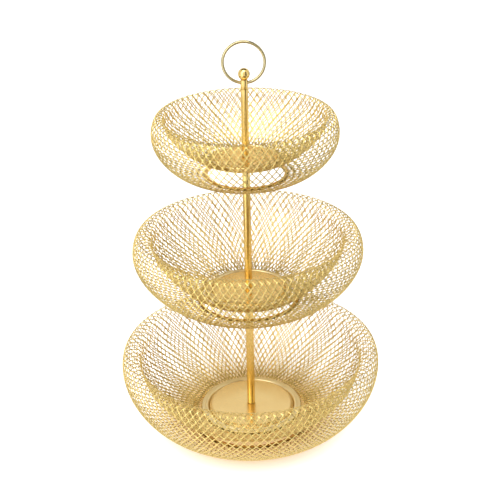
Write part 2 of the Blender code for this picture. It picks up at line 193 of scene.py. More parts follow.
def draw_profile(name: str, points: Sequence[Point]) -> Piece:
    """Draw a profile in the XZ plane: one vertex, extruded from point to point.

    Args:
        name: the new object's name.
        points: (radius, height) of each point, in order.

    Returns:
        The new object, at the origin.
    """
    bpy.ops.object.select_all(action="DESELECT")
    bpy.ops.mesh.primitive_plane_add(size=START_SIZE)
    piece = bpy.context.active_object
    piece.name = name
    piece.data.name = name
    with editing(piece):
        bpy.ops.mesh.merge(type="CENTER")
        bpy.ops.transform.translate(value=(points[0][0], 0.0, points[0][1]))
        for before, after in zip(points, points[1:]):
            step = (after[0] - before[0], 0.0, after[1] - before[1])
            bpy.ops.mesh.extrude_vertices_move(TRANSFORM_OT_translate={"value": step})
    return piece


def sweep_round(piece: Piece, steps: int, centre: Place, axis: Place) -> None:
    """Spin a piece's outline once round an axis, join its ends and point its faces outwards.

    Args:
        piece: the outline.
        steps: facets round the axis.
        centre: a point of the axis.
        axis: the axis's direction.
    """
    with editing(piece):
        bpy.ops.mesh.spin(steps=steps, angle=TURN, center=centre, axis=axis)
        bpy.ops.mesh.select_all(action="SELECT")
        bpy.ops.mesh.remove_doubles(threshold=MERGE_DISTANCE)
        bpy.ops.mesh.normals_make_consistent(inside=False)


def turn(name: str, points: Sequence[Point], steps: int, closed: bool = True) -> Piece:
    """Turn a profile once round the post's axis.

    Args:
        name: the new object's name.
        points: the profile's points.
        steps: facets round the axis.
        closed: whether the profile's last point joins its first one.

    Returns:
        The turned piece, its faces pointing outwards.
    """
    loop = [*points, points[0]] if closed else list(points)
    piece = draw_profile(name, loop)
    sweep_round(piece, steps, (0.0, 0.0, 0.0), (0.0, 0.0, 1.0))
    return piece


def smooth(piece: Piece, degrees: float | None = None) -> None:
    """Shade a piece smooth, all over or only below an angle.

    Args:
        piece: the piece to shade.
        degrees: the sharpest bend that is still smooth, or None for all.
    """
    pick(piece)
    if degrees is None:
        bpy.ops.object.shade_smooth()
    else:
        bpy.ops.object.shade_smooth_by_angle(angle=math.radians(degrees))


def turn_section(name: str, points: Sequence[Point], steps: int) -> Piece:
    """Turn a closed section and shade its rounded corners smooth.

    Args:
        name: the new piece's name.
        points: the section's points.
        steps: facets round the axis.

    Returns:
        The finished piece.
    """
    piece = turn(name, points, steps)
    smooth(piece, TURNED_BEND)
    return piece


def in_section(piece: Piece) -> np.ndarray:
    """The (radius, height) of each vertex."""
    places = np.array([tuple(v.co) for v in piece.data.vertices])
    return np.column_stack([np.hypot(places[:, 0], places[:, 1]), places[:, 2]])


def rounded(corners: Sequence[Corner], bends: int = 4) -> list[Point]:
    """Round the corners of a closed section.

    Args:
        corners: (radius, height, rounding) of each corner, in order round the section.
        bends: short lengths that each rounding is made of.

    Returns:
        The section's points.
    """
    points: list[Point] = []
    count = len(corners)
    for i, (x, z, rounding) in enumerate(corners):
        here = Vector((x, z))
        if rounding <= 0.0:
            points.append((x, z))
            continue
        back = Vector(corners[i - 1][:2]) - here
        ahead = Vector(corners[(i + 1) % count][:2]) - here
        bend = back.angle(ahead) / 2.0
        reach = min(rounding / math.tan(bend), back.length / 2.0, ahead.length / 2.0)
        first = here + back.normalized() * reach
        last = here + ahead.normalized() * reach
        for k in range(bends + 1):
            t = k / bends
            s = 1.0 - t
            place = first * (s * s) + here * (2.0 * s * t) + last * (t * t)
            points.append((place.x, place.y))
    return points


def quarter(start: Point, end: Point, share: float, steps: int, level_first: bool) -> list[Point]:
    """Points of a quarter turn from start to end, without its first point.

    Args:
        start: where the curve begins.
        end: where it ends.
        share: how full the turn is.
        steps: how many points it gives.
        level_first: whether it leaves level and arrives upright, or the other way round.

    Returns:
        The points after the start.
    """
    first = Vector(start)
    last = Vector(end)
    span = last - first
    level = Vector((span.x * share, 0.0))
    upright = Vector((0.0, span.y * share))
    near = first + (level if level_first else upright)
    far = last - (upright if level_first else level)
    points = []
    for i in range(1, steps + 1):
        t = i / steps
        s = 1.0 - t
        place = first * s**3 + near * (3.0 * s * s * t) + far * (3.0 * s * t * t) + last * t**3
        points.append((place.x, place.y))
    return points


class Nodes:
    """Builds the node tree of one material or world."""

    def __init__(self, tree: bpy.types.NodeTree) -> None:
        """Start on an emptied tree.

        Args:
            tree: the node tree to fill.
        """
        self.tree = tree
        tree.nodes.clear()

    def add(self, kind: str, values: dict | None = None, **settings: object) -> bpy.types.Node:
        """Add a node and set it up.

        Args:
            kind: the node's type name.
            values: a value or a socket to read for each input, by the input's name.
            settings: properties to set on it.

        Returns:
            The new node.
        """
        node = self.tree.nodes.new(kind)
        for name, value in settings.items():
            setattr(node, name, value)
        for name, value in (values or {}).items():
            self.fill(node.inputs[name], value)
        return node

    def fill(self, socket: Socket, value: object) -> None:
        """Join an input to a socket, or give it a value.

        Args:
            socket: the input.
            value: a socket to read, or the value.
        """
        if isinstance(value, Socket):
            self.join(value, socket)
        else:
            socket.default_value = value

    def join(self, source: Socket, target: Socket) -> None:
        """Link two sockets."""
        self.tree.links.new(source, target)

    def math(self, operation: str, first: object, second: object = None) -> Socket:
        """Work out one number from two.

        Args:
            operation: the Math node's operation.
            first: a socket or a number.
            second: a socket or a number, if the operation takes one.

        Returns:
            The result's socket.
        """
        node = self.add("ShaderNodeMath", operation=operation)
        for socket, value in zip(node.inputs, (first, second)):
            if value is not None:
                self.fill(socket, value)
        return node.outputs[0]

    def noise(self, vector: Socket, scale: float, detail: float) -> Socket:
        """Cloudy noise on a vector.

        Args:
            vector: where the noise is read.
            scale: how fine it is.
            detail: how many finer layers it has.

        Returns:
            The noise's value.
        """
        values = {"Scale": scale, "Detail": detail, "Vector": vector}
        return self.add("ShaderNodeTexNoise", values).outputs["Fac"]

    def span(self, value: Socket, low: float, high: float) -> Socket:
        """Stretch a noise's middle half over a span of values.

        Args:
            value: the noise.
            low: the value at its low end.
            high: the value at its high end.

        Returns:
            The stretched value.
        """
        values = {"From Min": NOISE_LOW, "From Max": NOISE_HIGH, "To Min": low, "To Max": high}
        return self.add("ShaderNodeMapRange", {**values, "Value": value}).outputs["Result"]

    def mixed(self, first: Colour, second: Colour, share: Socket) -> Socket:
        """Mix two colours.

        Args:
            first: the colour where the share is zero.
            second: the colour where it is one.
            share: the second colour's share.

        Returns:
            The mixed colour.
        """
        values = {"A": first, "B": second, "Factor": share}
        return self.add("ShaderNodeMix", values, data_type="RGBA").outputs["Result"]


def start_material(name: str) -> tuple[bpy.types.Material, Nodes, Socket]:
    """Make a material whose tree holds only its output.

    Args:
        name: the material's name.

    Returns:
        The material, its nodes and the output's surface socket.
    """
    made = bpy.data.materials.new(name)
    made.use_nodes = True
    nodes = Nodes(made.node_tree)
    return made, nodes, nodes.add("ShaderNodeOutputMaterial").inputs["Surface"]


class Grain(Enum):
    """Which way a finish's fine marks run."""

    CLOUDY = "cloudy"
    SPUN = "spun"
    DRAWN = "drawn"


@dataclass(frozen=True)
class MetalFinish:
    """A metal surface: its colour and how that, its roughness and its marks vary."""

    name: str
    slot: str
    colour: Colour
    deep_colour: Colour
    smoothest: float
    roughest: float
    grain: Grain
    grain_scale: float
    grain_depth: float
    cloud_scale: float = 55.0
    cloud_detail: float = 3.0
    mark_detail: float = 2.0
    cloud_share: float = 0.7
    mark_share: float = 0.3
    finer_times: float = 6.0
    wear_share: float = 0.5
    bump_strength: float = 0.5
    drawn_stretch: float = 0.012
    spun_stretch: float = 0.0012
    axis_guard: float = 1e-4

    def grain_vector(self, nodes: Nodes, place: Socket) -> Socket:
        """Where the marks' noise is read, stretched along the way that they run.

        Args:
            nodes: the material's nodes.
            place: the Object coordinates.

        Returns:
            The vector for the marks.
        """
        if self.grain is Grain.DRAWN:
            values = {"Scale": (1.0, 1.0, self.drawn_stretch), "Vector": place}
            return nodes.add("ShaderNodeMapping", values).outputs["Vector"]
        if self.grain is Grain.SPUN:
            split = nodes.add("ShaderNodeSeparateXYZ", {"Vector": place}).outputs
            squares = [nodes.math("POWER", split[side], 2.0) for side in ("X", "Y")]
            radius = nodes.math("SQRT", nodes.math("ADD", *squares))
            guarded = nodes.math("ADD", radius, self.axis_guard)
            rings = nodes.add("ShaderNodeCombineXYZ", {"X": radius})
            for side, target in (("X", "Y"), ("Y", "Z")):
                bearing = nodes.math("DIVIDE", split[side], guarded)
                nodes.join(nodes.math("MULTIPLY", bearing, self.spun_stretch), rings.inputs[target])
            return rings.outputs["Vector"]
        return place

    @cache
    def material(self) -> bpy.types.Material:
        """Make the finish's material at its first use.

        Returns:
            The finish's one material.
        """
        made, nodes, surface = start_material(self.name)
        made.diffuse_color = self.colour
        shader = nodes.add("ShaderNodeBsdfPrincipled", {"Metallic": 1.0})
        nodes.join(shader.outputs["BSDF"], surface)
        place = nodes.add("ShaderNodeTexCoord").outputs["Object"]

        clouds = nodes.noise(place, self.cloud_scale, self.cloud_detail)
        marks = nodes.noise(self.grain_vector(nodes, place), self.grain_scale, self.mark_detail)

        cloud_part = nodes.math("MULTIPLY", clouds, self.cloud_share)
        both = nodes.math("ADD", cloud_part, nodes.math("MULTIPLY", marks, self.mark_share))
        tint = nodes.mixed(self.colour, self.deep_colour, nodes.span(both, 0.0, 1.0))
        nodes.join(tint, shader.inputs["Base Color"])

        finer = nodes.noise(place, self.cloud_scale * self.finer_times, self.mark_detail)
        finer_part = nodes.math("MULTIPLY", finer, self.wear_share)
        wear = nodes.math("ADD", finer_part, nodes.math("MULTIPLY", marks, self.wear_share))
        nodes.join(nodes.span(wear, self.smoothest, self.roughest), shader.inputs["Roughness"])

        relief = {"Strength": self.bump_strength, "Distance": self.grain_depth, "Height": marks}
        nodes.join(nodes.add("ShaderNodeBump", relief).outputs["Normal"], shader.inputs["Normal"])
        return made


GILT_MESH = MetalFinish(
    name="gilt_mesh",
    slot="gilt_mesh",
    colour=(0.84, 0.655, 0.26, 1.0),
    deep_colour=(0.77, 0.575, 0.19, 1.0),
    smoothest=0.20,
    roughest=0.36,
    grain=Grain.CLOUDY,
    grain_scale=900.0,
    grain_depth=0.00003,
)
# Painted shade: the base rings wear the gilt trim darker than the clamp rings do, for the shade and dark
# reflection at the foot of each bowl.
GILT_TRIM_PAINTED_SHADE = MetalFinish(
    name="gilt_trim_painted_shade",
    slot="gilt_trim",
    colour=(0.78, 0.53, 0.18, 1.0),
    deep_colour=(0.66, 0.42, 0.12, 1.0),
    smoothest=0.14,
    roughest=0.28,
    grain=Grain.SPUN,
    grain_scale=2600.0,
    grain_depth=0.00002,
)
# Painted highlight: the clamp rings wear the same gilt trim paler, for the pale reflection round each floor
# plate's rim. Their roughness is raised too.
GILT_TRIM_PAINTED_HIGHLIGHT = replace(
    GILT_TRIM_PAINTED_SHADE,
    name="gilt_trim_painted_highlight",
    colour=(0.95, 0.80, 0.47, 1.0),
    deep_colour=(0.87, 0.68, 0.32, 1.0),
    smoothest=0.30,
    roughest=0.44,
)
SATIN_FLOOR = MetalFinish(
    name="satin_floor",
    slot="satin_floor",
    colour=(0.90, 0.66, 0.285, 1.0),
    deep_colour=(0.86, 0.61, 0.245, 1.0),
    smoothest=0.23,
    roughest=0.27,
    grain=Grain.SPUN,
    grain_scale=2200.0,
    grain_depth=0.00001,
)
POLISHED_POST = MetalFinish(
    name="polished_post",
    slot="polished_post",
    colour=(0.86, 0.64, 0.25, 1.0),
    deep_colour=(0.81, 0.58, 0.20, 1.0),
    smoothest=0.17,
    roughest=0.25,
    grain=Grain.DRAWN,
    grain_scale=1800.0,
    grain_depth=0.00001,
)
POLISHED_RING = MetalFinish(
    name="polished_ring",
    slot="polished_ring",
    colour=(0.58, 0.50, 0.29, 1.0),
    deep_colour=(0.50, 0.42, 0.21, 1.0),
    smoothest=0.08,
    roughest=0.16,
    grain=Grain.CLOUDY,
    grain_scale=1200.0,
    grain_depth=0.000002,
)
PLATED_STEEL = MetalFinish(
    name="plated_steel",
    slot="plated_steel",
    colour=(0.62, 0.62, 0.60, 1.0),
    deep_colour=(0.46, 0.46, 0.44, 1.0),
    smoothest=0.24,
    roughest=0.42,
    grain=Grain.SPUN,
    grain_scale=2400.0,
    grain_depth=0.00002,
)


@dataclass(frozen=True)
class Setter:
    """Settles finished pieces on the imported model's bodies."""

    frame: dict

    def settle(self, piece: Piece, node: str, finish: MetalFinish) -> None:
        """Dress a piece and let it stand for a node.

        Args:
            piece: the finished piece.
            node: the CAD node that it replaces.
            finish: its finish.
        """
        piece.data.materials.clear()
        piece.data.materials.append(finish.material())
        body = HANDLE if node == "carry_ring" else STAND
        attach(piece, body)
        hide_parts(node)
        LOG.info("%s stands for %s on %s, %d faces", piece.name, node, body, len(piece.data.polygons))

    def dress_node(self, node: str, finish: MetalFinish) -> None:
        """Give a CAD node that stays its finish.

        Args:
            node: the node's name.
            finish: its finish.
        """
        shown = self.frame["nodes"][node]
        material = finish.material()
        if shown.material_slots:
            for slot in shown.material_slots:
                slot.material = material
        else:
            shown.data.materials.append(material)
        LOG.info("%s keeps its CAD shape in %s", node, finish.name)


@dataclass(frozen=True)
class DiamondMesh:
    """The expanded mesh of one bowl: its diamonds, its strands and how they tilt and wind."""

    columns: int
    strand_length: float = 0.0069
    strand_width: float = 0.00098
    strand_thickness: float = 0.00080
    edge_share: float = 0.36
    fold_cuts: int = 2
    strand_tilt: float = 0.00036
    spiral: float = 0.0
    largest_hole: int = 24
    form_steps: int = 240
    fine_steps: int = 1600
    belly_part: float = 0.3

    def rows(self, line: np.ndarray) -> list[Point]:
        """Divide the bowl's line into rows of diamonds whose strands keep their length.

        Args:
            line: closely spaced points of the line.

        Returns:
            The row ends, as (radius, height) points.
        """
        steps = np.hypot(*np.diff(line, axis=0).T)
        middles = (line[1:, 0] + line[:-1, 0]) / 2.0
        half_widths = math.pi * middles / self.columns
        heights = 2.0 * np.sqrt(self.strand_length**2 - half_widths**2)
        counts = np.concatenate([[0.0], np.cumsum(steps / heights)])
        whole = round(counts[-1])
        wanted = np.linspace(0.0, counts[-1], whole + 1)
        radii = np.interp(wanted, counts, line[:, 0])
        tops = np.interp(wanted, counts, line[:, 1])
        return [(float(r), float(z)) for r, z in zip(radii, tops)]

    def is_grid_edge(self, edge: bmesh.types.BMEdge) -> bool:
        """Whether an inner edge belongs to the first square grid, and not to a diamond.

        Args:
            edge: an edge of the poked grid.

        Returns:
            True for the edges that are dissolved.
        """
        if edge.is_boundary:
            return False
        first, last = (math.atan2(v.co.y, v.co.x) for v in edge.verts)
        turned = abs(math.remainder(first - last, TURN))
        half_column = math.pi / self.columns
        return abs(turned - half_column) >= half_column / 2.0

    def is_fold_edge(self, edge: bmesh.types.BMEdge, fold: float) -> bool:
        """Whether an edge runs along a strand above the row where the fold begins."""
        middle = (edge.verts[0].co.z + edge.verts[1].co.z) / 2.0
        return edge.calc_length() > self.strand_length / 2.0 and middle > fold

    def build(self, name: str, line: np.ndarray, fold_height: float) -> Piece:
        """Model the bowl's diamonds.

        Args:
            name: the new piece's name.
            line: closely spaced points of the bowl's line.
            fold_height: where the fold begins, above which the strands bend.

        Returns:
            The finished mesh of strands.
        """
        rows = self.rows(line)
        fold = min((z for _, z in rows), key=lambda z: abs(z - fold_height))
        piece = turn(name, rows, self.columns, closed=False)
        if self.spiral:
            self.wind(piece, rows)
        with editing(piece):
            bpy.ops.mesh.poke()
            select_where(piece, Element.EDGE, self.is_grid_edge)
            bpy.ops.mesh.dissolve_edges(use_verts=False)
            bpy.ops.mesh.select_mode(type=Element.FACE.value)
            bpy.ops.mesh.select_all(action="SELECT")
            half_width = self.strand_width / 2.0
            bpy.ops.mesh.inset(thickness=half_width, use_individual=True, use_even_offset=True)
            bpy.ops.mesh.delete(type="FACE")
            select_where(piece, Element.EDGE, lambda edge: self.is_fold_edge(edge, fold))
            bpy.ops.mesh.subdivide(number_cuts=self.fold_cuts)
            bpy.ops.mesh.select_all(action="SELECT")
            bpy.ops.mesh.normals_make_consistent(inside=False)
        self.lay_on(piece, line)
        self.tilt(piece, line)
        self.thicken(piece)
        smooth(piece)
        return piece

    def wind(self, piece: Piece, rows: Sequence[Point]) -> None:
        """Let the rows creep round the post as they climb, as in a sheet that was rolled by hand.

        Args:
            piece: the plain grid.
            rows: the row ends, as (radius, height) points.
        """
        gaps = in_section(piece)[:, None, :] - np.array(rows)[None, :, :]
        row_of = np.hypot(gaps[..., 0], gaps[..., 1]).argmin(axis=1)
        creep = self.spiral * TURN / self.columns / (len(rows) - 1)
        with editing(piece):
            for row in range(1, len(rows)):
                beyond = set(np.flatnonzero(row_of >= row).tolist())
                select_where(piece, Element.VERTEX, lambda v, chosen=beyond: v.index in chosen)
                bpy.ops.transform.rotate(value=creep, orient_axis="Z", center_override=(0.0, 0.0, 0.0))

    def lay_on(self, piece: Piece, line: np.ndarray) -> None:
        """Lay the flat strands on the bowl's true surface.

        Args:
            piece: the mesh of strands.
            line: closely spaced points of the bowl's line.
        """
        points = [tuple(map(float, p)) for p in line]
        form = turn(piece.name + "_form", points, self.form_steps, closed=False)
        modify(piece, "lay_on_form", "SHRINKWRAP", wrap_method="NEAREST_SURFACEPOINT", target=form)
        drop(form)

    def holes(self, piece: Piece) -> list[list[int]]:
        """The vertices round each diamond's hole.

        Args:
            piece: the mesh of flat strands.

        Returns:
            One list of vertices for each hole.
        """
        ahead: dict[int, list[int]] = {}
        for first, last in self.open_edges(piece.data):
            ahead.setdefault(first, []).append(last)
            ahead.setdefault(last, []).append(first)
        found = []
        seen: set[int] = set()
        for start in ahead:
            if start in seen:
                continue
            loop = [start]
            seen.add(start)
            for vertex in loop:
                for beside in ahead[vertex]:
                    if beside not in seen:
                        seen.add(beside)
                        loop.append(beside)
            if len(loop) <= self.largest_hole:
                found.append(loop)
        return found

    def tilt(self, piece: Piece, line: np.ndarray) -> None:
        """Tilt the strands as the expanding press leaves them, each like the slat of a blind.

        Args:
            piece: the mesh of flat strands, on its surface.
            line: closely spaced points of the bowl's line.
        """
        along = np.concatenate([[0.0], np.cumsum(np.hypot(*np.diff(line, axis=0).T))])
        fine = np.linspace(0.0, along[-1], self.fine_steps)
        radii = np.interp(fine, along, line[:, 0])
        heights = np.interp(fine, along, line[:, 1])
        reach = KDTree(len(fine))
        for index, (radius, height) in enumerate(zip(radii, heights)):
            reach.insert((radius, height, 0.0), index)
        reach.balance()
        run = [fine[reach.find((radius, height, 0.0))[1]] for radius, height in in_section(piece)]
        ahead = piece.vertex_groups.new(name="far_edges")
        behind = piece.vertex_groups.new(name="near_edges")
        for hole in self.holes(piece):
            low = min(run[v] for v in hole)
            high = max(run[v] for v in hole)
            half = (high - low) / 2.0
            for vertex in hole:
                share = (run[vertex] - low - half) / half
                (ahead if share > 0.0 else behind).add([vertex], abs(share), "REPLACE")
        belly = [v for v in piece.data.vertices if run[v.index] < along[-1] * self.belly_part]
        outward = sum(v.normal.x * v.co.x + v.normal.y * v.co.y for v in belly)
        side = math.copysign(self.strand_tilt, outward)
        for group, strength in ((ahead, side), (behind, -side)):
            push = {"direction": "NORMAL", "mid_level": 0.0, "strength": strength}
            modify(piece, group.name, "DISPLACE", vertex_group=group.name, **push)
        piece.vertex_groups.clear()

    def thicken(self, piece: Piece) -> None:
        """Give the strands their thickness, full along the middle and thin at the edges.

        Args:
            piece: the mesh of flat strands.
        """
        group = piece.vertex_groups.new(name="strand_middles")
        edges = {v for e in self.open_edges(piece.data) for v in e}
        middles = [v.index for v in piece.data.vertices if v.index not in edges]
        group.add(middles, 1.0, "REPLACE")
        modify(
            piece,
            "thickness",
            "SOLIDIFY",
            thickness=self.strand_thickness,
            offset=0.0,
            use_even_offset=True,
            vertex_group=group.name,
            thickness_vertex_group=self.edge_share,
        )
        piece.vertex_groups.clear()

    def open_edges(self, mesh: bpy.types.Mesh) -> list[tuple[int, int]]:
        """The vertex pairs of all edges that only one face uses.

        Args:
            mesh: the mesh of flat strands.

        Returns:
            One pair for each open edge.
        """
        uses: dict[tuple[int, int], int] = {}
        for face in mesh.polygons:
            for pair in face.edge_keys:
                uses[pair] = uses.get(pair, 0) + 1
        return [pair for pair, count in uses.items() if count == 1]


@dataclass(frozen=True)
class Bowl:
    """One tier: its folded mesh, base ring, floor plate and clamp ring."""

    tier: str
    height: float
    base_radius: float
    widest: Point
    crest: Point
    throat: Point
    lip: Point
    floor_radius: float
    floor_height: float
    belly_share: float
    dish_share: float
    mesh: DiamondMesh
    mesh_thickness: float = 0.0010
    plate_thickness: float = 0.0010
    plate_hole: float = 0.0023
    ring_wall: float = 0.0007
    ring_width: float = 0.0036
    ring_inset: float = 0.0020
    shoulder_width: float = 0.0036
    brow_drop: float = 0.0005
    clamp_clearance: float = 0.0006
    clamp_height: float = 0.0017
    clamp_trim: float = 0.0016
    clamp_slope: float = 0.0012
    clamp_step_share: float = 0.52
    clamp_step_height_share: float = 0.55
    clamp_softness: float = 0.3
    grip_share: float = 0.62
    line_steps: int = 48
    fold_steps: int = 24
    turned_steps: int = 144

    @property
    def ring_inner(self) -> float:
        """The base ring's inner radius."""
        return self.base_radius - self.ring_inset

    @property
    def ring_top(self) -> float:
        """The base ring's height."""
        return self.mesh_thickness + 2.0 * (SEAT_GAP + self.ring_wall)

    @property
    def shoulder_radius(self) -> float:
        """Where the floor plate's slope meets its flange."""
        return self.floor_radius + self.shoulder_width

    @property
    def clamp_inner(self) -> float:
        """The clamp ring's inner radius."""
        return self.shoulder_radius + self.clamp_clearance

    @property
    def clamp_foot(self) -> float:
        """The height of the clamp ring's underside."""
        return self.lip[1] + self.mesh_thickness / 2.0 + SEAT_GAP

    @property
    def grip(self) -> float:
        """How far the mesh's inner edge runs in under the clamp ring."""
        return self.grip_share * (self.lip[0] - self.clamp_inner)

    def line(self) -> np.ndarray:
        """The mesh's line, from its edge in the base ring to its edge under the clamp ring.

        Returns:
            Closely spaced points (radius, height), in the basket's own heights.
        """
        base = (self.ring_inner + self.ring_width, self.ring_top / 2.0)
        points = [(self.ring_inner + self.ring_wall + SEAT_GAP, base[1]), base]
        points += quarter(base, self.widest, self.belly_share, self.line_steps, True)
        points += quarter(self.widest, self.crest, ROUND_SHARE, self.fold_steps, False)
        points += quarter(self.crest, self.throat, ROUND_SHARE, self.fold_steps, True)
        points += quarter(self.throat, self.lip, self.dish_share, self.line_steps, False)
        points.append((self.lip[0] - self.grip, self.lip[1]))
        return np.array([(r, z + self.height) for r, z in points])

    def turn_part(self, name: str, corners: Sequence[Corner]) -> Piece:
        """Turn a rounded section, whose heights are taken from the base ring's underside."""
        section = [(r, z + self.height) for r, z in rounded(corners)]
        return turn_section(f"{self.tier}_{name}", section, self.turned_steps)

    def build_mesh(self) -> Piece:
        """Model the folded diamond mesh."""
        fold = self.height + min(self.widest[1], self.throat[1])
        return self.mesh.build(self.tier + "_bowl_strands", self.line(), fold)

    def build_base_ring(self) -> Piece:
        """Turn the folded strip that the mesh's outer edge sits in. Its groove opens outwards.

        Returns:
            The base ring.
        """
        inner = self.ring_inner
        outer = inner + self.ring_width
        groove = inner + self.ring_wall
        top = self.ring_top
        wall = self.ring_wall
        bent = wall * 0.4
        trimmed = wall * 0.3
        corners = [
            (inner, top, wall),
            (outer, top, bent),
            (outer, top - wall, trimmed),
            (groove, top - wall, bent),
            (groove, wall, bent),
            (outer, wall, trimmed),
            (outer, 0.0, bent),
            (inner, 0.0, wall),
        ]
        return self.turn_part("rolled_base_ring", corners)

    def build_floor_plate(self) -> Piece:
        """Turn the pressed plate: a flat floor, a sloping shoulder and a flange under the mesh.

        Returns:
            The floor plate.
        """
        top = self.floor_height
        flange = self.lip[1] - self.mesh_thickness / 2.0 - SEAT_GAP
        bend = self.clamp_foot - SEAT_GAP
        heel = self.lip[0] - self.grip - SEAT_GAP
        edge = self.lip[0] - SEAT_GAP
        thick = self.plate_thickness
        brow = min(self.clamp_foot + self.clamp_height, top - self.brow_drop)
        brow_radius = self.shoulder_radius - 2.0 * SEAT_GAP
        foot_radius = self.clamp_inner - SEAT_GAP
        crisp = thick * 0.2
        trimmed = thick * 0.3
        bent = thick * 0.4
        pressed = thick * 0.5
        soft = thick * 0.6
        broad = thick * 1.2
        brow_back = thick * 0.8
        corners = [
            (self.plate_hole, top, crisp),
            (self.floor_radius, top, broad),
            (brow_radius, brow, soft),
            (foot_radius, bend, bent),
            (heel, flange, pressed),
            (edge, flange, trimmed),
            (edge, flange - thick, trimmed),
            (heel - trimmed, flange - thick, pressed),
            (foot_radius - thick, bend - thick, bent),
            (brow_radius - brow_back, brow - thick, bent),
            (self.floor_radius - crisp, top - thick, pressed),
            (self.plate_hole, top - thick, crisp),
        ]
        return self.turn_part("pressed_floor", corners)

    def build_clamp_ring(self) -> Piece:
        """Turn the stepped ring on the mesh's inner edge.

        Returns:
            The clamp ring.
        """
        inner = self.clamp_inner
        outer = self.lip[0] - self.clamp_trim
        foot = self.clamp_foot
        top = foot + self.clamp_height
        step = foot + self.clamp_height * self.clamp_step_height_share
        step_radius = inner + (outer - inner) * self.clamp_step_share
        soft = self.clamp_height * self.clamp_softness
        crisp = soft * 0.2
        tucked = soft * 0.6
        broad = soft * 1.5
        corners = [
            (inner + self.clamp_slope, top, broad),
            (step_radius - soft, top, soft),
            (step_radius, step, tucked),
            (outer, step, soft),
            (outer, foot, crisp),
            (inner, foot, crisp),
        ]
        return self.turn_part("stepped_clamp_ring", corners)

    def build(self, setter: Setter) -> None:
        """Build the tier's pieces and settle them on the stand.

        Args:
            setter: what dresses the pieces and ties them to the model.
        """
        setter.settle(self.build_mesh(), self.tier + "_basket_mesh", GILT_MESH)
        # The base ring wears the gilt trim darkened with painted shade.
        setter.settle(self.build_base_ring(), self.tier + "_base_ring", GILT_TRIM_PAINTED_SHADE)
        setter.settle(self.build_floor_plate(), self.tier + "_floor_plate", SATIN_FLOOR)
        # The clamp ring wears the gilt trim paled with a painted highlight.
        setter.settle(self.build_clamp_ring(), self.tier + "_clamp_ring", GILT_TRIM_PAINTED_HIGHLIGHT)


